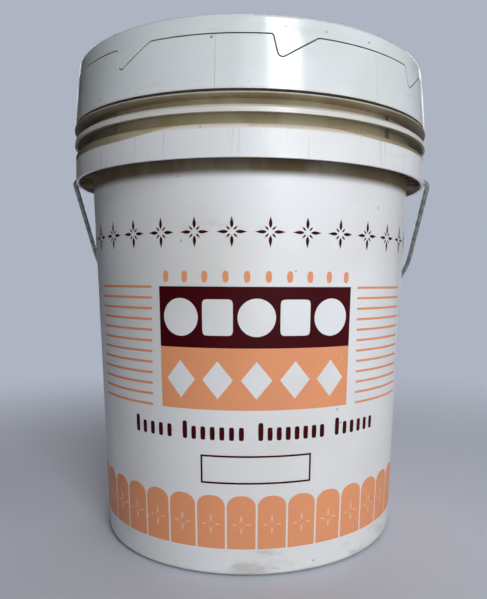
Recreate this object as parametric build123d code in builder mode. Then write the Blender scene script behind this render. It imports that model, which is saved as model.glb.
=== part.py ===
from build123d import *
import os
from math import asin, atan2, cos, degrees, radians, sin

# A 20 litre moulded paint pail with a lid that snaps over the rim, eight tear tabs round
# the lid's skirt, a sealing ring and a wire bail with a roller grip.
# Millimetres. The pail stands on z = 0 with its axis on Z. X runs through both ears,
# -Y is the printed front, and the bail hangs at the back, on +Y.

# ---- driving dimensions --------------------------------------------------------

# tapered wall and base
base_radius = 126.1
wall_taper = 0.0471
wall_thick = 2.4
foot_inner_radius = 114.6
foot_height = 4.0
floor_thick = 3.0
base_corner = 5.0
floor_rib_count = 12
floor_rib_height = 2.0

# rim and the three flanges that stand out below it
rim_top = 389.8
rim_bead_radius = 145.5
rim_bead_bottom = 381.9
snap_flange_radius = 149.0
snap_flange_top = 358.7
web_thick = 2.4
collar_radius = 142.2
upper_flange_radius = 155.0
upper_flange_top = 342.0
upper_flange_thick = 1.2
middle_flange_radius = 154.8
middle_flange_top = 334.1
middle_flange_bottom = 328.5
middle_edge_radius = 151.6
skirt_radius = 154.0
skirt_top = 321.4
skirt_bottom = 298.5
skirt_round = 3.4
lip_thick = 2.2

# ribs between the wall and the flanges
gusset_count = 52
gusset_thick = 1.4
gusset_bottom = 301.5
collar_rib_turn = -87.3
collar_rib_depth = 3.0
collar_rib_thick = 1.8

# ears for the bail, and the bail itself
pivot_height = 308.0
ear_radius = 8.0
wire_diameter = 4.5
running_clearance = 0.08
bore_end = 143.0
wire_tip = 145.0
leg_offset = 163.5
bail_reach = 199.0
ear_bend = 7.0
shoulder_radius = 104.0
grip_length = 108.0
grip_radius = 9.2
grip_rib_radius = 10.0
grip_rib_width = 3.0
grip_rib_count = 11
grip_bore = 5.0
wall_gap = 0.4

# lid
lid_top = 395.2
lid_bottom = 343.8
lid_bottom_radius = 154.4
crease_height = 373.5
crease_radius = 152.5
tear_line = 380.9
tear_line_radius = 152.0
shoulder_height = 392.2
shoulder_edge_radius = 150.6
lid_edge_round = 3.0
lid_thick = 2.0
ring_inner_radius = 135.3
plug_radius = 138.1
panel_top = 380.9
panel_thick = 2.4
panel_step_radius = 104.0
panel_step = 1.2
channel_roof = 392.7
hook_radius = 149.3
hook_height = 350.9
lid_rib_count = 24

# tear tabs: the slit over each one, the tooth that hangs down into it, the fine score
# that parts it from the next, and the bridges that hold it
tab_count = 8
tab_pitch = 360 / tab_count
tooth_turn = -82.9
score_turn = tooth_turn - 14.6
slit = 1.0
score_slit = 0.15
tooth_drop = 17.2
tooth_lean = 4.0
tooth_run = 32.0
bridge_width = 1.4
bridge_thick = 0.8
bridge_depth = 1.5
bridge_turns = (2.0, 8.5, 31.0, 37.0, 43.0)

# sealing ring under the lid
gasket_inner = 139.6
gasket_outer = 146.6
gasket_thick = 2.5


def wall_radius(height):
    """Outer radius of the tapered wall at a height."""
    return base_radius + wall_taper * height


def radial_plane(turn):
    """Upright plane through the axis: local x points outward, local y is up."""
    outward = (cos(radians(turn)), sin(radians(turn)), 0)
    along = (sin(radians(turn)), -cos(radians(turn)), 0)
    return Plane(origin=(0, 0, 0), x_dir=outward, z_dir=along)


def tangent_plane(turn):
    """Upright plane facing outward through the axis: local x runs round, local y is up."""
    outward = (cos(radians(turn)), sin(radians(turn)), 0)
    around = (-sin(radians(turn)), cos(radians(turn)), 0)
    return Plane(origin=(0, 0, 0), x_dir=around, z_dir=outward)


def even_turns(count, start=0.0):
    """Angles spaced evenly round the axis."""
    return [start + 360 / count * k for k in range(count)]


os.makedirs("parts", exist_ok=True)

# ---- pail body -----------------------------------------------------------------

inner_top = wall_radius(skirt_top) - wall_thick
inner_floor = wall_radius(foot_height + floor_thick) - wall_thick
foot_outer_radius = wall_radius(base_corner) - base_corner

with BuildPart() as pail_body:
    # floor, foot ring, tapered wall and rim
    with BuildSketch(Plane.XZ):
        with BuildLine():
            Polyline(
                (0, foot_height),
                (foot_inner_radius - 1, foot_height),
                (foot_inner_radius, 0),
                (foot_outer_radius, 0),
            )
            RadiusArc((foot_outer_radius, 0), (wall_radius(base_corner), base_corner), -base_corner)
            Polyline(
                (wall_radius(base_corner), base_corner),
                (wall_radius(skirt_top), skirt_top),
                (collar_radius, skirt_top),
                (collar_radius, rim_bead_bottom - 3),
                (rim_bead_radius, rim_bead_bottom),
                (rim_bead_radius, rim_top - 1.5),
                (rim_bead_radius - 1.5, rim_top),
                (inner_top, rim_top),
                (inner_top, skirt_top),
                (inner_floor, foot_height + floor_thick),
                (0, foot_height + floor_thick),
                (0, foot_height),
            )
        make_face()
    revolve(axis=Axis.Z)

    # deep skirt: web, rounded shoulder and hanging apron
    with BuildSketch(Plane.XZ):
        with BuildLine():
            Polyline(
                (skirt_radius - skirt_round, skirt_top),
                (wall_radius(skirt_top) - 1, skirt_top),
                (wall_radius(skirt_top) - 1, skirt_top - web_thick),
                (skirt_radius - lip_thick, skirt_top - web_thick),
                (skirt_radius - lip_thick, skirt_bottom),
                (skirt_radius, skirt_bottom),
                (skirt_radius, skirt_top - skirt_round),
            )
            RadiusArc(
                (skirt_radius, skirt_top - skirt_round),
                (skirt_radius - skirt_round, skirt_top),
                -skirt_round,
            )
        make_face()
    revolve(axis=Axis.Z)

    # middle flange: web with a short hanging lip, its edge sloping outward
    with BuildSketch(Plane.XZ):
        with BuildLine():
            Polyline(
                (collar_radius - 1, middle_flange_top),
                (middle_edge_radius, middle_flange_top),
                (middle_flange_radius - 0.4, middle_flange_top - 2.2),
                (middle_flange_radius, middle_flange_bottom),
                (middle_flange_radius - lip_thick, middle_flange_bottom),
                (middle_flange_radius - lip_thick, middle_flange_top - web_thick),
                (collar_radius - 1, middle_flange_top - web_thick),
                close=True,
            )
        make_face()
    revolve(axis=Axis.Z)

    # upper flange, just under the lid's edge, and the snap flange inside the lid
    for flange_radius, flange_top, flange_thick in (
        (upper_flange_radius, upper_flange_top, upper_flange_thick),
        (snap_flange_radius, snap_flange_top, web_thick),
    ):
        with BuildSketch(Plane.XZ):
            with BuildLine():
                Polyline(
                    (collar_radius - 1, flange_top),
                    (flange_radius - 0.5, flange_top),
                    (flange_radius, flange_top - 0.5),
                    (flange_radius, flange_top - flange_thick + 0.5),
                    (flange_radius - 0.5, flange_top - flange_thick),
                    (collar_radius - 1, flange_top - flange_thick),
                    close=True,
                )
            make_face()
        revolve(axis=Axis.Z)

    # gussets inside the skirt, and four ribs standing in the collar
    with BuildSketch(*[radial_plane(turn) for turn in even_turns(gusset_count, 90)]):
        with BuildLine():
            Polyline(
                (wall_radius(gusset_bottom) - 1, gusset_bottom),
                (skirt_radius - 1, gusset_bottom),
                (skirt_radius - 1, skirt_top - 1),
                (wall_radius(gusset_bottom) - 1, skirt_top - 1),
                close=True,
            )
        make_face()
    extrude(amount=gusset_thick / 2, both=True)
    with BuildSketch(*[radial_plane(turn) for turn in even_turns(4, collar_rib_turn - 45)]):
        with BuildLine():
            Polyline(
                (collar_radius - 1, skirt_top - 1),
                (collar_radius + collar_rib_depth, skirt_top - 1),
                (collar_radius + collar_rib_depth, upper_flange_top - 1),
                (collar_radius - 1, upper_flange_top - 1),
                close=True,
            )
        make_face()
    extrude(amount=collar_rib_thick / 2, both=True)

    # ribs under the floor
    with BuildSketch(*[radial_plane(turn) for turn in even_turns(floor_rib_count)]):
        with BuildLine():
            Polyline(
                (12, foot_height + 1),
                (12, foot_height - floor_rib_height),
                (foot_inner_radius + 1, foot_height - floor_rib_height),
                (foot_inner_radius + 1, foot_height + 1),
                close=True,
            )
        make_face()
    extrude(amount=1.0, both=True)

    # ears: a boss between the wall and the skirt on each side, bored for the wire
    ear_inner = wall_radius(pivot_height) - wall_thick + 0.8
    ear_outer = skirt_radius - 1.4
    for turn in (0, 180):
        outward = Plane(origin=(0, 0, pivot_height), x_dir=(0, 0, 1), z_dir=(cos(radians(turn)), 0, 0))
        with BuildSketch(outward.offset(ear_inner)):
            Circle(ear_radius)
        extrude(amount=ear_outer - ear_inner)
        with BuildSketch(outward.offset(bore_end)):
            Circle(wire_diameter / 2 + running_clearance)
        extrude(amount=skirt_radius + 2 - bore_end, mode=Mode.SUBTRACT)

    # soft corner where the wall meets the floor inside
    floor_edge = pail_body.edges().filter_by(GeomType.CIRCLE).filter_by_position(
        Axis.Z, foot_height + floor_thick - 0.01, foot_height + floor_thick + 0.01
    )
    fillet(floor_edge.sort_by(SortBy.RADIUS)[-1], radius=6)

pail_body.part.label = "pail_body"
export_step(pail_body.part, "parts/pail_body.step")

# ---- lid and its tear tabs -----------------------------------------------------

skirt_outline = (
    (lid_bottom_radius, lid_bottom),
    (crease_radius, crease_height),
    (tear_line_radius, tear_line),
)


def tooth_outline(grow):
    """The tooth that hangs between two tabs, seen from outside, grown by half a slit."""
    with BuildSketch() as tooth:
        with BuildLine():
            Polyline(
                (-8, tear_line + 6),
                (-8, tear_line),
                (0, tear_line),
                (tooth_lean, tear_line - tooth_drop),
                (tooth_run, tear_line),
                (tooth_run + 10, tear_line),
                (tooth_run + 10, tear_line + 6),
                close=True,
            )
        make_face()
        for corner_x, corner_radius in ((0, 2.0), (tooth_lean, 3.6), (tooth_run, 6.0)):
            corner = tooth.vertices().sort_by(lambda vertex: abs(vertex.X - corner_x))[0]
            fillet(corner, radius=corner_radius)
        offset(amount=grow, kind=Kind.INTERSECTION)
    return tooth.sketch


def tear_zone(edge, outline):
    """Solid ring that the tabs occupy, up to a given edge, without the hanging teeth."""
    with BuildPart() as zone:
        with BuildSketch(Plane.XY.offset(lid_bottom - 5)):
            Circle(lid_bottom_radius + 4)
            Circle(hook_radius - 8, mode=Mode.SUBTRACT)
        extrude(amount=edge - lid_bottom + 5)
        with BuildSketch(*[tangent_plane(turn).offset(hook_radius - 9) for turn in tooth_turns]):
            add(outline)
        extrude(amount=lid_bottom_radius + 14 - hook_radius, mode=Mode.SUBTRACT)
    return zone.part


tooth_turns = even_turns(tab_count, tooth_turn)
zone_under_lid = tear_zone(tear_line + slit / 2, tooth_outline(-slit / 2))
zone_of_tabs = tear_zone(tear_line - slit / 2, tooth_outline(slit / 2))

with BuildPart() as lid:
    # top ring, recessed panel, plug wall and full skirt in one turned section
    with BuildSketch(Plane.XZ):
        with BuildLine():
            Polyline(*skirt_outline, (shoulder_edge_radius, shoulder_height))
            RadiusArc(
                (shoulder_edge_radius, shoulder_height),
                (shoulder_edge_radius - lid_edge_round, lid_top),
                -lid_edge_round,
            )
            Polyline(
                (shoulder_edge_radius - lid_edge_round, lid_top),
                (ring_inner_radius + 2.0, lid_top),
                (ring_inner_radius, lid_top - 2.0),
                (ring_inner_radius - 1.0, panel_top),
                (panel_step_radius, panel_top),
                (panel_step_radius - panel_step, panel_top + panel_step),
                (0, panel_top + panel_step),
                (0, panel_top - panel_thick + panel_step),
                (panel_step_radius - panel_step, panel_top - panel_thick + panel_step),
                (panel_step_radius, panel_top - panel_thick),
                (plug_radius - 1.5, panel_top - panel_thick),
                (plug_radius, panel_top - panel_thick + 2.5),
                (plug_radius, channel_roof),
                (shoulder_edge_radius - lid_thick - 0.2, channel_roof),
                (tear_line_radius - lid_thick, tear_line),
                (crease_radius - lid_thick, crease_height),
                (lid_bottom_radius - lid_thick, lid_bottom),
                (lid_bottom_radius, lid_bottom),
            )
        make_face()
    revolve(axis=Axis.Z)

    # short ribs that stiffen the corner of the recessed panel
    with BuildSketch(*[radial_plane(turn) for turn in even_turns(lid_rib_count, 7.5)]):
        with BuildLine():
            Polyline(
                (ring_inner_radius + 0.6, panel_top - 1),
                (ring_inner_radius + 0.6, lid_top - 3.0),
                (ring_inner_radius - 1.0, lid_top - 3.0),
                (ring_inner_radius - 12.0, panel_top),
                (ring_inner_radius - 12.0, panel_top - 1),
                close=True,
            )
        make_face()
    extrude(amount=0.8, both=True)

    # everything below the tear line belongs to the tabs
    add(zone_under_lid, mode=Mode.SUBTRACT)

lid.part.label = "lid"
export_step(lid.part, "parts/lid.step")

with BuildPart() as tab_ring:
    # lower skirt with the hook that bears on the snap flange
    with BuildSketch(Plane.XZ):
        with BuildLine():
            Polyline(
                *skirt_outline,
                (tear_line_radius - lid_thick, tear_line),
                (crease_radius - lid_thick, crease_height),
                (lid_bottom_radius - lid_thick - 0.45, hook_height + 4.0),
                (hook_radius, hook_height + 1.0),
                (hook_radius, hook_height - 1.0),
                (lid_bottom_radius - lid_thick - 0.1, hook_height - 4.0),
                (lid_bottom_radius - lid_thick, lid_bottom),
                close=True,
            )
        make_face()
    revolve(axis=Axis.Z)
    add(zone_of_tabs, mode=Mode.INTERSECT)

    # score slits part the ring into tabs
    with BuildSketch(*[radial_plane(turn) for turn in even_turns(tab_count, score_turn)]):
        with Locations((lid_bottom_radius - 3, (lid_bottom + tear_line) / 2)):
            Rectangle(14, tear_line - lid_bottom + 4)
    extrude(amount=score_slit / 2, both=True, mode=Mode.SUBTRACT)

    # thin bridges that hold each tab to the lid until it is torn
    bridge_sites = [score_turn + tab_pitch * k + turn for k in range(tab_count) for turn in bridge_turns]
    with BuildSketch(*[radial_plane(turn) for turn in bridge_sites]):
        with Locations((tear_line_radius - bridge_depth, tear_line - 0.5)):
            Rectangle(bridge_thick, slit + 1.0)
    extrude(amount=bridge_width / 2, both=True)


def turn_of(solid):
    """Angle of a solid's centre round the axis, counted from the front."""
    centre = solid.center()
    return (degrees(atan2(centre.Y, centre.X)) + 90 + tab_pitch / 2) % 360


for number, tab_solid in enumerate(sorted(tab_ring.part.solids(), key=turn_of), start=1):
    with BuildPart() as tear_tab:
        add(tab_solid)
    tear_tab.part.label = f"tear_tab_{number}"
    export_step(tear_tab.part, f"parts/tear_tab_{number}.step")

# ---- sealing ring --------------------------------------------------------------

with BuildPart() as lid_gasket:
    with BuildSketch(Plane.XZ):
        with Locations(((gasket_inner + gasket_outer) / 2, channel_roof - gasket_thick / 2)):
            RectangleRounded(gasket_outer - gasket_inner, gasket_thick, 0.8)
    revolve(axis=Axis.Z)

lid_gasket.part.label = "lid_gasket"
export_step(lid_gasket.part, "parts/lid_gasket.step")

# ---- bail ----------------------------------------------------------------------

# The bail hangs behind the pail with its grip just clear of the wall, so its lean from
# the vertical follows from its reach. Each pass takes the wall's radius at the grip's new
# height, and the lean settles within six.
bail_lean = 45.0
for _ in range(6):
    grip_height = pivot_height - bail_reach * cos(radians(bail_lean))
    stand_off = wall_radius(grip_height + grip_rib_radius) + wall_gap + grip_rib_radius
    bail_lean = degrees(asin(stand_off / bail_reach))
down_back = (0, sin(radians(bail_lean)), -cos(radians(bail_lean)))
bail_plane = Plane(
    origin=(0, 0, pivot_height),
    x_dir=(1, 0, 0),
    z_dir=(0, cos(radians(bail_lean)), sin(radians(bail_lean))),
)

with BuildPart() as bail_wire:
    with BuildLine(bail_plane) as wire_path:
        FilletPolyline(
            (wire_tip, 0),
            (leg_offset, 0),
            (leg_offset, bail_reach),
            (-leg_offset, bail_reach),
            (-leg_offset, 0),
            (-wire_tip, 0),
            radius=[ear_bend, shoulder_radius, shoulder_radius, ear_bend],
        )
    with BuildSketch(Plane(origin=wire_path.line @ 0, z_dir=wire_path.line % 0)):
        Circle(wire_diameter / 2)
    sweep(path=wire_path.line)
    tips = bail_wire.faces().filter_by(GeomType.PLANE).edges()
    chamfer(tips, length=0.6)

bail_wire.part.label = "bail_wire"
export_step(bail_wire.part, "parts/bail_wire.step")

# roller grip: a tube with flared rims and shallow rings, loose on the wire
grip_plane = Plane(
    origin=(0, bail_reach * down_back[1], pivot_height + bail_reach * down_back[2]),
    x_dir=(1, 0, 0),
    z_dir=(0, 1, 0),
)
rib_pitch = (grip_length - grip_rib_width) / (grip_rib_count - 1)

with BuildPart() as bail_grip:
    with BuildSketch(grip_plane):
        with Locations((0, (grip_radius + grip_bore / 2) / 2)):
            Rectangle(grip_length, grip_radius - grip_bore / 2)
        for k in range(grip_rib_count):
            with Locations((rib_pitch * (k - (grip_rib_count - 1) / 2), grip_rib_radius - 2)):
                RectangleRounded(grip_rib_width, 4, 0.75)
    revolve(axis=Axis(grip_plane.origin, (1, 0, 0)))

bail_grip.part.label = "bail_grip"
export_step(bail_grip.part, "parts/bail_grip.step")
print(f"bail leans {bail_lean:.2f} degrees, grip at height {grip_plane.origin.Z:.1f}")
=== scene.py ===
import bpy
import math
import numpy as np
from mathutils import Matrix


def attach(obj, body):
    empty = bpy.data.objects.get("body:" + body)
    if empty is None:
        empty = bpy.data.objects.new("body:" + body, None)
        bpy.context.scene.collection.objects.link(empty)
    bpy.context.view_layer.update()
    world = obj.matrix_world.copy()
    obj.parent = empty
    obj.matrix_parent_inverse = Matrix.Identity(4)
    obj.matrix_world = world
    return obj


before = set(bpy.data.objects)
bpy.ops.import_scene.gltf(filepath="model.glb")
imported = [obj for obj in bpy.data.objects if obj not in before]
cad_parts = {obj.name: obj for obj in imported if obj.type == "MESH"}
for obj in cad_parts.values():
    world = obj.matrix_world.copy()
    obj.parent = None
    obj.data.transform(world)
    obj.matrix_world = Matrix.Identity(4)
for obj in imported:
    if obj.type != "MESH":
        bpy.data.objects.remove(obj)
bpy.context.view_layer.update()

mm = 0.001
turn = math.pi / 180

# the tapered wall that the print lies on; angles start at the front, -Y, and grow towards +X
pailWall = {
    "baseRadius": 126.1 * mm,
    "taper": 0.0471,
}

# heights where a finish begins or ends: edges of the pail and the lid as modelled, but for the painted
# shadow under the skirt
shadowFoot = 290.2 * mm       # where the painted shadow and dirt under the skirt end on the wall
skirtFoot = 298.5 * mm      # lower edge of the deep skirt
gussetFoot = 301.5 * mm
skirtTop = 321.4 * mm
skirtRound = 3.4 * mm       # rounding over the skirt's shoulder
middleFoot = 328.5 * mm     # edge of the middle flange
middleTop = 334.1 * mm
collarTop = 342.0 * mm      # top of the flange under the lid
collarLip = 0.6 * mm        # clean lower part of that flange's edge
lidFoot = 343.8 * mm        # lower edge of the lid's skirt
lidTop = 392.2 * mm         # where the lid's skirt turns in to its top
slitTop = 384.5 * mm        # just over the tear line
stripTop = 21.2 * mm        # bare strip below the arches


def wallRadius(height):
    # base radius plus taper times height
    return pailWall["baseRadius"] + pailWall["taper"] * height


def addNode(tree, kind, inputs=None, **settings):
    made = tree.nodes.new(kind)
    for name, value in settings.items():
        setattr(made, name, value)
    for name, value in (inputs or {}).items():
        if isinstance(value, bpy.types.NodeSocket):
            tree.links.new(value, made.inputs[name])
        else:
            made.inputs[name].default_value = value
    return made


def calc(tree, operation, first, second=0.0):
    made = addNode(tree, "ShaderNodeMath", {0: first, 1: second}, operation=operation)
    return made.outputs[0]


def ramp(tree, value, low, high, start=0.0, end=1.0):
    # smooth step from start to end as value goes from low to high
    made = addNode(tree, "ShaderNodeMapRange", {0: value, 1: low, 2: high, 3: start, 4: end})
    made.interpolation_type = "SMOOTHSTEP"
    return made.outputs[0]


def band(tree, value, low, high, soft):
    # 1 between low and high, falling to 0 over soft at both ends
    rise = ramp(tree, value, low - soft, low + soft)
    fall = ramp(tree, value, high - soft, high + soft, 1.0, 0.0)
    return calc(tree, "MULTIPLY", rise, fall)


def tint(tree, factor, first, second):
    made = addNode(tree, "ShaderNodeMix", {0: factor, 6: first, 7: second}, data_type="RGBA")
    return made.outputs[2]


def colour(red, green, blue):
    return (red, green, blue, 1.0)


def noise(tree, place, scale, detail=3.0, roughness=0.55, stretch=(1, 1, 1)):
    # fractal noise on Object coordinates, stretched per axis
    moved = addNode(tree, "ShaderNodeMapping", {"Vector": place, "Scale": stretch})
    made = addNode(tree, "ShaderNodeTexNoise", {
        "Vector": moved.outputs[0], "Scale": scale, "Detail": detail, "Roughness": roughness})
    return made.outputs[0]


def specks(tree, place, scale, size, share):
    # dots round the feature points of a Voronoi pattern, kept where the cell's own colour is low
    made = addNode(tree, "ShaderNodeTexVoronoi", {"Vector": place, "Scale": scale})
    dot = ramp(tree, made.outputs["Distance"], size * 0.6, size, 1.0, 0.0)
    pick = addNode(tree, "ShaderNodeSeparateColor", {"Color": made.outputs["Color"]})
    kept = ramp(tree, pick.outputs[0], share - 0.05, share + 0.05, 1.0, 0.0)
    return calc(tree, "MULTIPLY", dot, kept)


def newMaterial(name):
    made = bpy.data.materials.new(name)
    made.use_nodes = True
    tree = made.node_tree
    shader = tree.nodes["Principled BSDF"]
    place = addNode(tree, "ShaderNodeTexCoord").outputs["Object"]
    return made, tree, shader, place


def placeOf(tree, place):
    # height over the floor, distance from the axis, and 1 where the face looks down
    parts = addNode(tree, "ShaderNodeSeparateXYZ", {"Vector": place})
    flat = addNode(tree, "ShaderNodeCombineXYZ", {0: parts.outputs[0], 1: parts.outputs[1]})
    radius = addNode(tree, "ShaderNodeVectorMath", {0: flat.outputs[0]}, operation="LENGTH").outputs["Value"]
    normal = addNode(tree, "ShaderNodeTexCoord").outputs["Normal"]
    facing = addNode(tree, "ShaderNodeSeparateXYZ", {"Vector": normal})
    return parts.outputs[2], radius, ramp(tree, facing.outputs[2], -0.6, -0.4, 1.0, 0.0)


def endShade(tree, place, most):
    # painted shade: grows from 0 to its most towards both ears, the left more than the right
    across = addNode(tree, "ShaderNodeSeparateXYZ", {"Vector": place}).outputs[0]
    left = ramp(tree, across, -140 * mm, -50 * mm, most, 0.0)
    return calc(tree, "MAXIMUM", left, ramp(tree, across, 60 * mm, 150 * mm, 0.0, most * 0.8))


def bump(tree, shader, height, strength, distance):
    made = addNode(tree, "ShaderNodeBump", {"Height": height, "Strength": strength, "Distance": distance})
    tree.links.new(made.outputs[0], shader.inputs["Normal"])


def join(tree, shader, colourSocket, roughSocket):
    tree.links.new(colourSocket, shader.inputs["Base Color"])
    tree.links.new(roughSocket, shader.inputs["Roughness"])


pailLook = {
    "clean": colour(0.745, 0.750, 0.755),
    "aged": colour(0.69, 0.685, 0.66),
    # stain on the lid's lower edge, and painted shade on the skirt's shoulder
    "stainAndShade": colour(0.66, 0.58, 0.44),
    "edge": colour(0.62, 0.60, 0.53),
    "grime": colour(0.40, 0.31, 0.155),
    # paler dirt between the flanges, and a painted shadow line at the skirt's bend
    "paleGrimeAndShade": colour(0.52, 0.46, 0.29),
    # dark brown used as painted shade in the slits, on the ribs, at the floor and towards both sides;
    # painted shade with grime under the lid
    "shadeAndGrime": colour(0.105, 0.072, 0.032),
    # painted shadow with dirt under the skirt
    "skirtShadeAndDirt": colour(0.098, 0.060, 0.014),
    "gussetDirt": colour(0.28, 0.19, 0.10),
    "smudge": colour(0.34, 0.34, 0.29),
    "roughness": 0.36,
    "dirtRoughness": 0.75,
    "specular": 0.8,
}

# radii between which each band of the collar fades in or out, or that it lies between
collarRadii = {
    "hollow": (139.2 * mm, 151.8 * mm),       # under the skirt, from the wall to the skirt's inside
    "wallFace": (140.6 * mm, 141.4 * mm),
    "rib": (142.9 * mm, 145.8 * mm),
    "underLid": (143.0 * mm, 144.0 * mm),
    "shoulder": (148.2 * mm, 149.2 * mm),
    "recess": (150.0 * mm, 151.6 * mm),
    "middleEdge": (151.0 * mm, 151.8 * mm),
    "skirtFace": (152.6 * mm, 153.4 * mm),
}

# how strongly each tone covers the clean plastic: wear and dirt, and painted shade on the shoulder, the
# crease, the lowered band, the ribs, under the lid and at the floor
pailTones = {
    "scratch": 0.45,
    "shoulder": 0.8,
    "crease": 0.45,
    "recess": 0.95,
    "loweredShade": 0.9,
    "edge": 0.75,
    "rib": 0.6,
    "underLid": 0.96,
    "gussetFoot": 0.8,
    "strip": 0.55,
    "atFloor": 0.85,
    "spots": 0.75,
    "rub": 0.25,
}


def layTone(tree, look, mask, kind, tone):
    # lays a tone over the look where the mask is 1, as strongly as that kind covers: wear, dirt and painted
    # shade alike
    return tint(tree, calc(tree, "MULTIPLY", mask, pailTones[kind]), look, tone)


def scratchesAndShadeOnSkirt(tree, place, look, height, onCollar, radius):
    # fine upright scratches on the skirt's face, painted shade on its rounded shoulder, and a painted shadow
    # line at the bend below the shoulder
    streak = noise(tree, place, 1.0, 3.0, 0.6, (300, 300, 14))
    outside = ramp(tree, radius, *collarRadii["skirtFace"])
    bend = skirtTop - skirtRound
    onSkirt = calc(tree, "MULTIPLY", band(tree, height, skirtFoot, bend, 1.2 * mm), outside)
    scratch = calc(tree, "MULTIPLY", onSkirt, ramp(tree, streak, 0.56, 0.74))
    look = layTone(tree, look, scratch, "scratch", pailLook["smudge"])
    # painted shade on the rounded shoulder
    shoulder = band(tree, height, bend + 0.4 * mm, skirtTop + 0.4 * mm, 0.5 * mm)
    look = layTone(tree, look, calc(tree, "MULTIPLY", onCollar, shoulder), "shoulder", pailLook["stainAndShade"])
    # painted shadow line at the bend
    crease = band(tree, height, bend - 0.2 * mm, bend + 0.2 * mm, 0.3 * mm)
    look = layTone(tree, look, calc(tree, "MULTIPLY", onCollar, crease), "crease", pailLook["paleGrimeAndShade"])
    return look, scratch


def shadeReachOf(tree, place):
    # how far the painted shade reaches down over the skirt's shoulder, more towards each ear
    across = addNode(tree, "ShaderNodeSeparateXYZ", {"Vector": place}).outputs[0]
    left = ramp(tree, across, -100 * mm, -25 * mm, 6.8 * mm, 0.0)
    return calc(tree, "MAXIMUM", left, ramp(tree, across, 50 * mm, 100 * mm, 0.0, 4.3 * mm))


def dirtAndShadeOnCollar(tree, place, look, height, onCollar, radius, downward, dirtCloud):
    # brown dirt packed between the flanges, and painted shade in the same tone on their undersides
    # the recess's inner faces take the dirt; faces that look down take the same tone as painted shade
    hidden = calc(tree, "MAXIMUM", ramp(tree, radius, *collarRadii["recess"], 1.0, 0.0), downward)
    inRecess = band(tree, height, skirtTop + 0.5 * mm, collarTop - collarLip, 0.3 * mm)
    inRecess = calc(tree, "MULTIPLY", inRecess, hidden)
    inRecess = calc(tree, "MULTIPLY", inRecess, ramp(tree, radius, *collarRadii["wallFace"]))
    dirtAndShade = tint(tree, ramp(tree, dirtCloud, 0.35, 0.65), pailLook["grime"], pailLook["paleGrimeAndShade"])
    # towards both sides the tone darkens into painted shade
    dirtAndShade = tint(tree, endShade(tree, place, 0.9), dirtAndShade, pailLook["shadeAndGrime"])
    look = layTone(tree, look, inRecess, "recess", dirtAndShade)

    # painted shade in the same tone, reaching down over the skirt's shoulder: the band's height is raised by
    # that reach
    raised = calc(tree, "ADD", height, shadeReachOf(tree, place))
    loweredShade = band(tree, raised, skirtTop + 0.2 * mm, skirtTop + 12 * mm, 0.4 * mm)
    belowTop = ramp(tree, height, skirtTop + 0.6 * mm, skirtTop + 1.2 * mm, 1.0, 0.0)
    loweredShade = calc(tree, "MULTIPLY", calc(tree, "MULTIPLY", onCollar, loweredShade), belowTop)
    look = layTone(tree, look, loweredShade, "loweredShade", dirtAndShade)

    # the middle flange's edge, painted shade on the collar ribs, and painted shade with grime in the gap
    # under the lid
    edge = ramp(tree, radius, *collarRadii["middleEdge"])
    edge = calc(tree, "MULTIPLY", band(tree, height, middleFoot, middleTop, 0.4 * mm), edge)
    look = layTone(tree, look, edge, "edge", pailLook["edge"])
    # painted shade on the rib faces
    onRib = band(tree, radius, *collarRadii["rib"], 0.3 * mm)
    onRib = calc(tree, "MULTIPLY", onRib, calc(tree, "SUBTRACT", inRecess, downward))
    look = layTone(tree, look, onRib, "rib", pailLook["shadeAndGrime"])
    # painted shade with grime in the gap under the lid
    underLid = band(tree, height, collarTop - 0.75 * collarLip, collarTop + 1.6 * mm, 0.15 * mm)
    underLid = calc(tree, "MULTIPLY", underLid, ramp(tree, radius, *collarRadii["underLid"]))
    return layTone(tree, look, underLid, "underLid", pailLook["shadeAndGrime"]), inRecess


def shadowAndDirtUnderSkirt(tree, look, height, radius, downward, dirtCloud):
    # painted shadow with dirt under the skirt, fading down the wall, and browner feet on the gussets
    inHollow = band(tree, radius, *collarRadii["hollow"], 0.4 * mm)
    underSkirt = band(tree, height, shadowFoot, skirtTop - 2 * mm, 3.5 * mm)
    underSkirt = calc(tree, "MULTIPLY", underSkirt, inHollow)
    # painted shadow with dirt: a dark brown that fades down the wall
    fade = calc(tree, "MULTIPLY", underSkirt, ramp(tree, dirtCloud, 0.2, 0.6, 0.80, 1.0))
    look = tint(tree, fade, look, pailLook["skirtShadeAndDirt"])
    foot = band(tree, height, gussetFoot - 0.5 * mm, gussetFoot + 0.5 * mm, 0.2 * mm)
    foot = calc(tree, "MULTIPLY", foot, downward)
    return layTone(tree, look, foot, "gussetFoot", pailLook["gussetDirt"]), underSkirt


def smudgesAndShadeAtFoot(tree, place, look, height):
    # smudges on the bare strip, and a painted shadow line where it meets the floor
    smear = noise(tree, place, 26.0, 4.0, 0.6, (1, 1, 3))
    onStrip = ramp(tree, height, stripTop - 2 * mm, stripTop, 1.0, 0.0)
    onStrip = calc(tree, "MULTIPLY", onStrip, ramp(tree, smear, 0.50, 0.72))
    look = layTone(tree, look, onStrip, "strip", pailLook["smudge"])
    # painted shadow line at the floor
    return layTone(tree, look, ramp(tree, height, 0.6 * mm, 3.2 * mm, 1.0, 0.0), "atFloor", pailLook["shadeAndGrime"])


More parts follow.
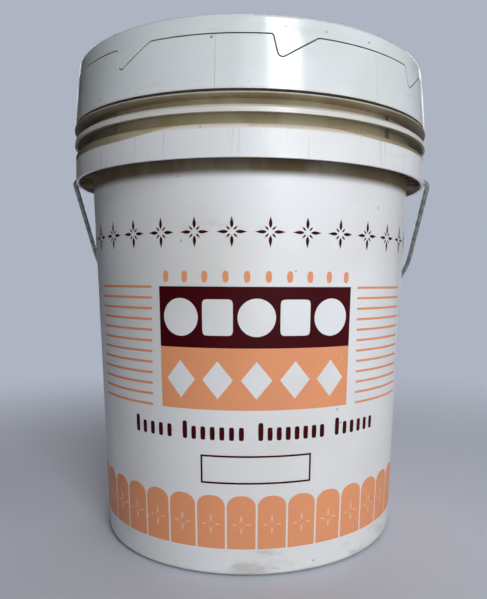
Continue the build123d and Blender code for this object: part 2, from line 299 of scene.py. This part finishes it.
def makePailPlastic():
    # clean plastic, then the wear, dirt and painted shade from the skirt to the foot, then specks and rubbed
    # patches
    made, tree, shader, place = newMaterial("pailPlastic")
    height, radius, downward = placeOf(tree, place)
    onCollar = ramp(tree, radius, *collarRadii["shoulder"])
    dirtCloud = noise(tree, place, 22.0, 4.0, 0.6, (1, 1, 0.5))
    cloud = noise(tree, place, 9.0, 4.0)
    look = tint(tree, ramp(tree, cloud, 0.38, 0.72), pailLook["clean"], pailLook["aged"])
    look, scratch = scratchesAndShadeOnSkirt(tree, place, look, height, onCollar, radius)
    look, inRecess = dirtAndShadeOnCollar(tree, place, look, height, onCollar, radius, downward, dirtCloud)
    look, underSkirt = shadowAndDirtUnderSkirt(tree, look, height, radius, downward, dirtCloud)
    look = smudgesAndShadeAtFoot(tree, place, look, height)
    look = layTone(tree, look, specks(tree, place, 60.0, 0.075, 0.30), "spots", pailLook["smudge"])
    rub = noise(tree, place, 14.0, 5.0, 0.7, (1, 1, 5))
    look = tint(tree, ramp(tree, rub, 0.60, 0.80, 0.0, pailTones["rub"]), look, pailLook["smudge"])

    dirty = calc(tree, "MAXIMUM", inRecess, underSkirt)
    dirty = ramp(tree, dirty, 0.0, 1.0, pailLook["roughness"], pailLook["dirtRoughness"])
    grain = noise(tree, place, 70.0, 3.0)
    join(tree, shader, look, calc(tree, "ADD", dirty, ramp(tree, grain, 0.3, 0.7, -0.05, 0.07)))
    shader.inputs["Specular IOR Level"].default_value = pailLook["specular"]
    relief = calc(tree, "ADD", calc(tree, "MULTIPLY", grain, 0.25), calc(tree, "MULTIPLY", scratch, -0.5))
    bump(tree, shader, relief, 0.25, 0.4 * mm)
    return made


lidLook = {
    "clean": colour(0.735, 0.775, 0.775),
    "aged": colour(0.67, 0.71, 0.69),
    "speck": colour(0.20, 0.21, 0.20),
    "smear": colour(0.47, 0.50, 0.49),
    "roughness": 0.15,
    "specular": 0.75,
    "footRadius": 154.4 * mm,      # outer face at the lid's lower edge
    "topRadius": 150.9 * mm,       # and at its shoulder
}


def makeLidPlastic():
    made, tree, shader, place = newMaterial("lidPlastic")
    height, radius, _ = placeOf(tree, place)
    cloud = noise(tree, place, 11.0, 4.0)
    look = tint(tree, ramp(tree, cloud, 0.35, 0.7), lidLook["clean"], lidLook["aged"])
    smear = noise(tree, place, 30.0, 5.0, 0.65, (1, 1, 3.5))
    look = tint(tree, ramp(tree, smear, 0.58, 0.78, 0.0, 0.5), look, lidLook["smear"])
    spots = specks(tree, place, 80.0, 0.11, 0.42)
    look = tint(tree, calc(tree, "MULTIPLY", spots, 0.8), look, lidLook["speck"])
    edge = ramp(tree, height, lidFoot, lidFoot + 1.8 * mm, 0.45, 0.0)
    look = tint(tree, edge, look, pailLook["stainAndShade"])
    # painted shade in the slits: between the skirt's outer and inner faces, which narrow upward
    face = addNode(tree, "ShaderNodeMapRange", {
        0: height, 1: lidFoot, 2: lidTop, 3: lidLook["footRadius"], 4: lidLook["topRadius"]}).outputs[0]
    deep = band(tree, calc(tree, "SUBTRACT", face, radius), 0.5 * mm, 1.45 * mm, 0.15 * mm)
    belowTop = ramp(tree, height, slitTop - 0.5 * mm, slitTop + 0.5 * mm, 1.0, 0.0)
    inSlit = calc(tree, "MULTIPLY", deep, belowTop)
    look = tint(tree, calc(tree, "MULTIPLY", inSlit, 0.9), look, pailLook["shadeAndGrime"])
    grain = noise(tree, place, 55.0, 3.0)
    rough = ramp(tree, grain, 0.3, 0.7, lidLook["roughness"] - 0.04, lidLook["roughness"] + 0.08)
    join(tree, shader, look, rough)
    shader.inputs["Specular IOR Level"].default_value = lidLook["specular"]
    wave = noise(tree, place, 14.0, 2.0, 0.5, (1, 1, 2))
    bump(tree, shader, wave, 0.22, 1.2 * mm)
    return made


wireLook = {
    "zinc": colour(0.46, 0.46, 0.45),
    "dull": colour(0.25, 0.25, 0.24),
    "rust": colour(0.22, 0.12, 0.06),
}


def makeWire():
    made, tree, shader, place = newMaterial("galvanisedWire")
    spangle = noise(tree, place, 160.0, 3.0, 0.6)
    look = tint(tree, ramp(tree, spangle, 0.35, 0.7), wireLook["zinc"], wireLook["dull"])
    rust = noise(tree, place, 34.0, 4.0, 0.7)
    rusty = ramp(tree, rust, 0.60, 0.72)
    look = tint(tree, calc(tree, "MULTIPLY", rusty, 0.6), look, wireLook["rust"])
    rough = ramp(tree, calc(tree, "ADD", spangle, rusty), 0.3, 1.2, 0.34, 0.62)
    join(tree, shader, look, rough)
    shader.inputs["Metallic"].default_value = 0.85
    bump(tree, shader, spangle, 0.2, 0.2 * mm)
    return made


gripLook = {
    "pale": colour(0.70, 0.69, 0.65),
    "aged": colour(0.55, 0.53, 0.47),
}


def makeGrip():
    made, tree, shader, place = newMaterial("gripPlastic")
    cloud = noise(tree, place, 40.0, 4.0)
    look = tint(tree, ramp(tree, cloud, 0.4, 0.7), gripLook["pale"], gripLook["aged"])
    spots = specks(tree, place, 140.0, 0.12, 0.4)
    look = tint(tree, calc(tree, "MULTIPLY", spots, 0.6), look, pailLook["smudge"])
    flow = noise(tree, place, 60.0, 3.0, 0.5, (0.3, 1, 1))
    rough = ramp(tree, flow, 0.3, 0.7, 0.34, 0.48)
    join(tree, shader, look, rough)
    bump(tree, shader, flow, 0.2, 0.3 * mm)
    return made


rubberLook = {
    "face": colour(0.52, 0.52, 0.49),
    "pore": colour(0.36, 0.36, 0.34),
}


def makeRubber():
    made, tree, shader, place = newMaterial("foamRubber")
    pores = noise(tree, place, 900.0, 2.0, 0.7)
    look = tint(tree, ramp(tree, pores, 0.3, 0.7), rubberLook["face"], rubberLook["pore"])
    rough = ramp(tree, pores, 0.3, 0.7, 0.75, 0.9)
    join(tree, shader, look, rough)
    bump(tree, shader, pores, 0.5, 0.2 * mm)
    return made


# each ink: full colour, thinner colour, how clearly the chips show, and specular level
inks = {
    "maroonInk": (colour(0.046, 0.0006, 0.0022), colour(0.054, 0.002, 0.005), 0.5, 0.08),
    "peachInk": (colour(0.76, 0.305, 0.140), colour(0.72, 0.290, 0.140), 0.8, 0.22),
    "paleInk": (colour(0.74, 0.56, 0.44), colour(0.73, 0.48, 0.34), 0.3, 0.22),
}


def makeInk(name):
    # screen ink: faint unevenness, and small chips where the plastic shows through
    full, thin, chips, specular = inks[name]
    made, tree, shader, place = newMaterial(name)
    cloud = noise(tree, place, 24.0, 4.0)
    look = tint(tree, ramp(tree, cloud, 0.4, 0.75), full, thin)
    chipping = noise(tree, place, 75.0, 5.0, 0.7, (1, 1, 2.2))
    where = noise(tree, place, 16.0, 2.0)
    worn = calc(tree, "MULTIPLY", ramp(tree, chipping, 0.66, 0.70), ramp(tree, where, 0.52, 0.62))
    look = tint(tree, calc(tree, "MULTIPLY", worn, chips), look, pailLook["clean"])
    rough = ramp(tree, cloud, 0.3, 0.7, 0.42, 0.54)
    join(tree, shader, look, rough)
    shader.inputs["Specular IOR Level"].default_value = specular
    bump(tree, shader, chipping, 0.06, 0.3 * mm)
    return made


print("materials")
pailPlastic = makePailPlastic()
lidPlastic = makeLidPlastic()
galvanisedWire = makeWire()
gripPlastic = makeGrip()
foamRubber = makeRubber()
maroonInk = makeInk("maroonInk")
peachInk = makeInk("peachInk")
paleInk = makeInk("paleInk")


def coat(name, material):
    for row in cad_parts[name].material_slots:
        row.material = material


print("finishes on the pail, lid, bail and grip")
coat("pail_body", pailPlastic)
coat("lid", lidPlastic)
for tabName in [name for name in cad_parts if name.startswith("tear_tab_")]:
    coat(tabName, lidPlastic)
coat("lid_gasket", foamRubber)
coat("bail_wire", galvanisedWire)
coat("bail_grip", gripPlastic)


# how far a film stands off the wall, one laid over another, and how deep its back is sunk
film = {
    "lift": 0.06 * mm,
    "overLift": 0.12 * mm,
    "sink": 0.35 * mm,
}


def patchBetween(along, low, high, rows):
    # ruled patch: at each step along, straight from the low point to the high point
    share = np.linspace(0, 1, rows)[None, :]
    height = low[:, None] * (1 - share) + high[:, None] * share
    return np.broadcast_to(along[:, None], height.shape), height


def boxPatch(left, right, bottom, top, step=4 * mm):
    # rectangle: along runs left to right, between two level edges
    count = max(2, int(math.ceil((right - left) / step)) + 1)
    along = np.linspace(left, right, count)
    return patchBetween(along, np.full(count, bottom), np.full(count, top), 2)


def roundPatch(centreAlong, centreHeight, halfWidth, halfHeight, power=2.0, count=25):
    # superellipse: half height times (1 - |x|^power)^(1/power) at each x across it
    across = np.sin(np.linspace(-0.5, 0.5, count) * math.pi)
    reach = np.maximum(1 - np.abs(across) ** power, 0.0) ** (1 / power)
    reach = np.maximum(reach, 0.004)
    along = centreAlong + across * halfWidth
    return patchBetween(along, centreHeight - reach * halfHeight, centreHeight + reach * halfHeight, 3)


def petalPatch(centreAlong, centreHeight, angle, start, end, width, widest=0.38, count=13):
    # petal: from start to end out from the centre, half width a sine that peaks at widest
    share = np.linspace(0, 1, count)
    bent = share ** (math.log(0.5) / math.log(widest))
    half = np.maximum(np.sin(bent * math.pi) ** 1.2, 0.02) * width / 2
    out = start + (end - start) * share
    side = np.array([-1.0, 0.0, 1.0])
    alongX = out[:, None] * math.cos(angle) - side[None, :] * half[:, None] * math.sin(angle)
    alongZ = out[:, None] * math.sin(angle) + side[None, :] * half[:, None] * math.cos(angle)
    return centreAlong + alongX, centreHeight + alongZ


def archPatch(centreAlong, bottom, top, halfWidth, crown, count=21):
    # upright column with a rounded head: the top edge falls by a superellipse over the crown
    across = np.sin(np.linspace(-0.5, 0.5, count) * math.pi)
    fall = crown * (1 - np.maximum(1 - np.abs(across) ** 2.2, 0.0) ** (1 / 2.2))
    along = centreAlong + across * halfWidth
    return patchBetween(along, np.full(count, bottom), top - fall, 5)


def filmOnWall(name, patches, lift, ink):
    # outer skin at the wall's radius plus lift, inner skin sunk under it, joined round the rim
    points, faces, offset = [], [], 0
    for along, height, reference in patches:      # reference: the height where along is true to length
        rows, columns = along.shape
        angle = along / wallRadius(reference)
        for extra in (film[lift], -film["sink"]):
            radius = wallRadius(height) + extra
            skin = np.stack([radius * np.sin(angle), -radius * np.cos(angle), height], 2)
            points.append(skin.reshape(-1, 3))
        index = np.arange(rows * columns).reshape(rows, columns)
        quads = np.stack([index[:-1, :-1], index[1:, :-1], index[1:, 1:], index[:-1, 1:]], 2).reshape(-1, 4)
        rim = np.concatenate([index[:, 0], index[-1, 1:], index[-2::-1, -1], index[0, -2:0:-1]])
        after = np.roll(rim, -1)
        under = rows * columns
        walls = np.stack([after, rim, rim + under, after + under], 1)
        faces.append(offset + np.concatenate([quads, quads[:, ::-1] + under, walls]))
        offset += 2 * under
    mesh = bpy.data.meshes.new(name)
    mesh.from_pydata(np.concatenate(points).tolist(), [], np.concatenate(faces).tolist())
    mesh.validate()
    mesh.materials.append(ink)
    piece = bpy.data.objects.new(name, mesh)
    bpy.context.scene.collection.objects.link(piece)
    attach(piece, "pail")
    return piece


starRow = {
    "count": 32,
    "firstTurn": 7.395 * turn,
    "height": 250.1 * mm,
    "long": (2.6 * mm, 10.9 * mm, 2.4 * mm),     # start, end and width of a long petal
    "short": (1.9 * mm, 5.9 * mm, 1.3 * mm),
}


def makeStars():
    # eight petals round each centre, long ones upright and level, short ones between
    height = starRow["height"]
    patches = []
    for number in range(starRow["count"]):
        along = (starRow["firstTurn"] + number * 2 * math.pi / starRow["count"]) * wallRadius(height)
        for eighth in range(8):
            start, end, width = starRow["short" if eighth % 2 else "long"]
            patches.append((*petalPatch(along, height, eighth * math.pi / 4, start, end, width), height))
    return filmOnWall("star_row", patches, "lift", maroonInk)


panel = {
    "centre": 8.45 * mm,           # arc from the front to the middle of the panel
    "halfWidth": 72.85 * mm,
    "bottom": 123.4 * mm,
    "middle": 168.0 * mm,
    "top": 211.7 * mm,
    "markCount": 5,
    "markPitch": 28.0 * mm,
    "markSize": 13.6 * mm,         # radius of a disc
    "markSlim": 0.82,              # a square's or lozenge's half width over that radius
    "squareTall": 0.95,
    "squareness": 9.0,             # power of the superellipse that makes a square
    "upperMarks": 189.8 * mm,
    "lowerMarks": 145.0 * mm,
}


def makePanel():
    # two flat blocks one over the other
    left, right = panel["centre"] - panel["halfWidth"], panel["centre"] + panel["halfWidth"]
    upper = (*boxPatch(left, right, panel["middle"], panel["top"]), panel["middle"])
    lower = (*boxPatch(left, right, panel["bottom"], panel["middle"]), panel["middle"])
    filmOnWall("panel_maroon", [upper], "lift", maroonInk)
    filmOnWall("panel_peach", [lower], "lift", peachInk)

    # plain marks in the colour of the wall: discs and squares above, lozenges below
    marks = []
    size, slim = panel["markSize"], panel["markSize"] * panel["markSlim"]
    upperHeight, lowerHeight = panel["upperMarks"], panel["lowerMarks"]
    middle = panel["markCount"] // 2
    for number in range(-middle, middle + 1):
        along = panel["centre"] + number * panel["markPitch"]
        if number % 2 == 0:
            mark = roundPatch(along, upperHeight, size, size)
        else:
            mark = roundPatch(along, upperHeight, slim, size * panel["squareTall"], panel["squareness"], 31)
        marks.append((*mark, upperHeight))
        marks.append((*roundPatch(along, lowerHeight, slim, size, 1.0, 25), lowerHeight))
    return filmOnWall("panel_marks", marks, "overLift", pailPlastic)


stripes = {
    "count": 12,
    "top": 211.2 * mm,
    "bottom": 124.0 * mm,
    "thick": 1.75 * mm,
    "near": 81.0 * mm,
    "far": 149.0 * mm,
}


def makeStripes():
    # level lines on both sides of the panel
    patches = []
    for height in np.linspace(stripes["bottom"], stripes["top"], stripes["count"]):
        low, high = height - stripes["thick"] / 2, height + stripes["thick"] / 2
        for left, right in ((-stripes["far"], -stripes["near"]), (stripes["near"], stripes["far"])):
            patches.append((*boxPatch(panel["centre"] + left, panel["centre"] + right, low, high), height))
    return filmOnWall("side_stripes", patches, "lift", peachInk)


smallMarks = {
    "count": 10,
    "left": -59.5 * mm,
    "right": 77.9 * mm,
    "height": 218.7 * mm,
    "halfWidth": 2.2 * mm,
    "halfHeight": 4.1 * mm,
}


def makeSmallMarks():
    # a spaced row of upright ovals over the panel
    height = smallMarks["height"]
    patches = []
    for along in np.linspace(smallMarks["left"], smallMarks["right"], smallMarks["count"]):
        oval = roundPatch(along, height, smallMarks["halfWidth"], smallMarks["halfHeight"], 2.6, 13)
        patches.append((*oval, height))
    return filmOnWall("small_marks", patches, "lift", peachInk)


dashRow = {
    "bottom": 101.4 * mm,
    "tall": 13.0 * mm,
    "low": 9.6 * mm,
    "width": 3.7 * mm,
    "groups": ((-90.5, -55.6, 5), (-46.4, -0.4, 7), (9.8, 60.2, 8), (69.8, 110.2, 6)),
}


def makeDashes():
    # four groups of upright dashes, the first of each group taller
    patches = []
    for left, right, count in dashRow["groups"]:
        for number, along in enumerate(np.linspace(left * mm, right * mm - dashRow["width"], count)):
            tall = dashRow["tall"] if number == 0 else dashRow["low"]
            middle = dashRow["bottom"] + tall / 2
            dash = roundPatch(along + dashRow["width"] / 2, middle, dashRow["width"] / 2, tall / 2, 5.0, 9)
            patches.append((*dash, middle))
    return filmOnWall("dash_row", patches, "lift", maroonInk)


outline = {
    "left": -32.2 * mm,
    "right": 49.3 * mm,
    "bottom": 69.4 * mm,
    "top": 90.4 * mm,
    "line": 1.35 * mm,
}


def makeOutline():
    # an empty box drawn with four bars that meet at square corners
    left, right, bottom, top, line = (outline[key] for key in ("left", "right", "bottom", "top", "line"))
    middle = (bottom + top) / 2
    bars = (
        (left, right, bottom, bottom + line),
        (left, right, top - line, top),
        (left, left + line, bottom + line, top - line),
        (right - line, right, bottom + line, top - line),
    )
    patches = [(*boxPatch(*bar), middle) for bar in bars]
    return filmOnWall("outline_box", patches, "lift", maroonInk)


arches = {
    "count": 36,
    "firstTurn": -1.0 * turn,
    "bottom": stripTop,
    "top": 60.8 * mm,
    "halfWidth": 10.42 * mm,
    "crown": 8.6 * mm,
    "sparkleHeight": 39.3 * mm,
    "level": (2.9 * mm, 7.3 * mm, 1.0 * mm),      # start, end and width of a level petal
    "upright": (1.6 * mm, 7.5 * mm, 1.3 * mm),
    "slanted": (1.5 * mm, 3.4 * mm, 0.45 * mm),
    "widest": 0.45,                               # where along its length a petal is widest
}


def makeArches():
    # a fence of round-headed columns with a four-point sparkle in each
    columns, sparkles = [], []
    height = arches["sparkleHeight"]
    for number in range(arches["count"]):
        along = (arches["firstTurn"] + number * 2 * math.pi / arches["count"]) * wallRadius(height)
        column = archPatch(along, arches["bottom"], arches["top"], arches["halfWidth"], arches["crown"])
        columns.append((*column, height))
        for eighth in range(8):
            kind = "slanted" if eighth % 2 else ("upright" if eighth % 4 else "level")
            petal = petalPatch(along, height, eighth * math.pi / 4, *arches[kind], arches["widest"], 7)
            sparkles.append((*petal, height))
    filmOnWall("arch_band", columns, "lift", peachInk)
    return filmOnWall("arch_sparkles", sparkles, "overLift", paleInk)


print("print on the wall")
makeStars()
makePanel()
makeStripes()
makeSmallMarks()
makeDashes()
makeOutline()
makeArches()


studio = {
    "floorRadius": 9.0,
    "floorRings": 12,
    "floorSteps": 96,
    "meltStart": 0.26,            # distance at which the floor starts to melt into the backdrop
    "meltEnd": 0.95,
    "floorColour": colour(0.71, 0.745, 0.84),
    "floorShade": colour(0.62, 0.65, 0.72),
    "background": colour(0.42, 0.455, 0.54),
    "ambient": colour(0.80, 0.86, 1.0),
    "ambientStrength": 0.006,
}


def makeFloor():
    # flat disc: rings of growing radius round the origin
    count, steps = studio["floorRings"], studio["floorSteps"]
    rings = np.geomspace(0.3, studio["floorRadius"], count)[:, None]
    angle = np.linspace(0, 2 * math.pi, steps, endpoint=False)
    points = np.stack([rings * np.cos(angle), rings * np.sin(angle), np.zeros((count, steps))], 2)
    points = np.concatenate([points.reshape(-1, 3), [[0.0, 0.0, 0.0]]])
    index = np.arange(count * steps).reshape(count, steps)
    after = np.roll(index, -1, axis=1)
    quads = np.stack([index[:-1], index[1:], after[1:], after[:-1]], 2).reshape(-1, 4).tolist()
    centre = [[len(points) - 1, int(a), int(b)] for a, b in zip(index[0], after[0])]
    mesh = bpy.data.meshes.new("floor")
    mesh.from_pydata(points.tolist(), [], quads + centre)
    made, tree, shader, place = newMaterial("floorPaper")
    cloud = noise(tree, place, 3.0, 3.0)
    look = tint(tree, ramp(tree, cloud, 0.3, 0.7, 0.0, 0.25), studio["floorColour"], studio["floorShade"])
    tree.links.new(look, shader.inputs["Base Color"])
    shader.inputs["Roughness"].default_value = 0.85
    # the camera sees the far floor melt into the backdrop
    reach = addNode(tree, "ShaderNodeVectorMath", {0: place}, operation="LENGTH").outputs["Value"]
    far = ramp(tree, reach, studio["meltStart"], studio["meltEnd"])
    seen = addNode(tree, "ShaderNodeLightPath").outputs["Is Camera Ray"]
    glow = addNode(tree, "ShaderNodeEmission", {"Color": studio["background"], "Strength": 1.0})
    melted = calc(tree, "MULTIPLY", far, seen)
    mix = addNode(tree, "ShaderNodeMixShader", {0: melted, 1: shader.outputs[0], 2: glow.outputs[0]})
    tree.links.new(mix.outputs[0], tree.nodes["Material Output"].inputs["Surface"])
    mesh.materials.append(made)
    floor = bpy.data.objects.new("floor", mesh)
    bpy.context.scene.collection.objects.link(floor)


def makeWorld():
    # dim cool ambient light, with a pale backdrop colour behind the object
    world = bpy.data.worlds.new("studio")
    bpy.context.scene.world = world
    world.use_nodes = True
    tree = world.node_tree
    seen = addNode(tree, "ShaderNodeLightPath").outputs["Is Camera Ray"]
    glow = addNode(tree, "ShaderNodeBackground", {
        "Color": studio["ambient"], "Strength": studio["ambientStrength"]})
    backdrop = addNode(tree, "ShaderNodeBackground", {"Color": studio["background"], "Strength": 1.0})
    mix = addNode(tree, "ShaderNodeMixShader", {0: seen, 1: glow.outputs[0], 2: backdrop.outputs[0]})
    tree.links.new(mix.outputs[0], tree.nodes["World Output"].inputs["Surface"])


whiteLight = (0.97, 0.985, 1.0)
coolLight = (0.93, 0.95, 1.0)

# each lamp: azimuth and elevation in degrees, distance, width and height in metres, watts, colour
lamps = {
    "window_left": (4.5, 24, 2.2, 0.56, 1.35, 3, whiteLight),
    "window_right": (21.3, 24, 2.2, 0.66, 1.35, 22.5, whiteLight),
    "side_fill": (48, 12, 2.2, 1.2, 1.0, 8, coolLight),
    "top_fill": (60, 75, 2.0, 1.6, 1.6, 2.5, whiteLight),
    "low_front": (10, -4, 1.6, 1.4, 0.3, 3.8, (0.96, 0.97, 1.0)),
    "low_right": (78, -3, 1.3, 1.0, 0.3, 1.2, coolLight),
    "back_fill": (180, 17, 2.2, 2.4, 1.6, 20, (0.97, 0.98, 1.0)),
}
lampTarget = (0.0, 0.0, 0.22)      # the middle of the pail


def makeLamp(name):
    # area light aimed at the middle of the pail; azimuth 0 is the front and grows towards +X
    azimuth, elevation, distance, width, height, power, tone = lamps[name]
    level = distance * math.cos(elevation * turn)
    sideways, forwards = level * math.sin(azimuth * turn), -level * math.cos(azimuth * turn)
    spot = np.array(lampTarget) + np.array([sideways, forwards, distance * math.sin(elevation * turn)])
    lamp = bpy.data.lights.new(name, "AREA")
    lamp.shape = "RECTANGLE"
    lamp.size, lamp.size_y = width, height
    lamp.energy = power
    lamp.color = tone
    holder = bpy.data.objects.new(name, lamp)
    holder.location = spot
    holder.rotation_euler = (math.pi / 2 - elevation * turn, 0, azimuth * turn)
    bpy.context.scene.collection.objects.link(holder)


eye = {
    "place": (16.85 * mm, -553.2 * mm, 215.3 * mm),
    "down": 1.707 * turn,
    "roll": 0.320 * turn,
    "lens": 35.79,
    "shift": -0.0424,
}


def makeCamera():
    # looks level along +Y, tipped down a little, then rolled about its own line of sight
    data = bpy.data.cameras.new("camera")
    data.lens = eye["lens"]
    data.shift_x = eye["shift"]
    data.clip_start = 0.02
    camera = bpy.data.objects.new("camera", data)
    camera.location = eye["place"]
    camera.rotation_mode = "XYZ"
    camera.rotation_euler = (math.pi / 2 - eye["down"], 0, 0)
    camera.matrix_basis = camera.matrix_basis @ Matrix.Rotation(eye["roll"], 4, "Z")
    bpy.context.scene.collection.objects.link(camera)
    bpy.context.scene.camera = camera


print("floor, light and camera")
makeFloor()
makeWorld()
for lampName in lamps:
    makeLamp(lampName)
makeCamera()
bpy.context.scene.view_settings.view_transform = "Standard"
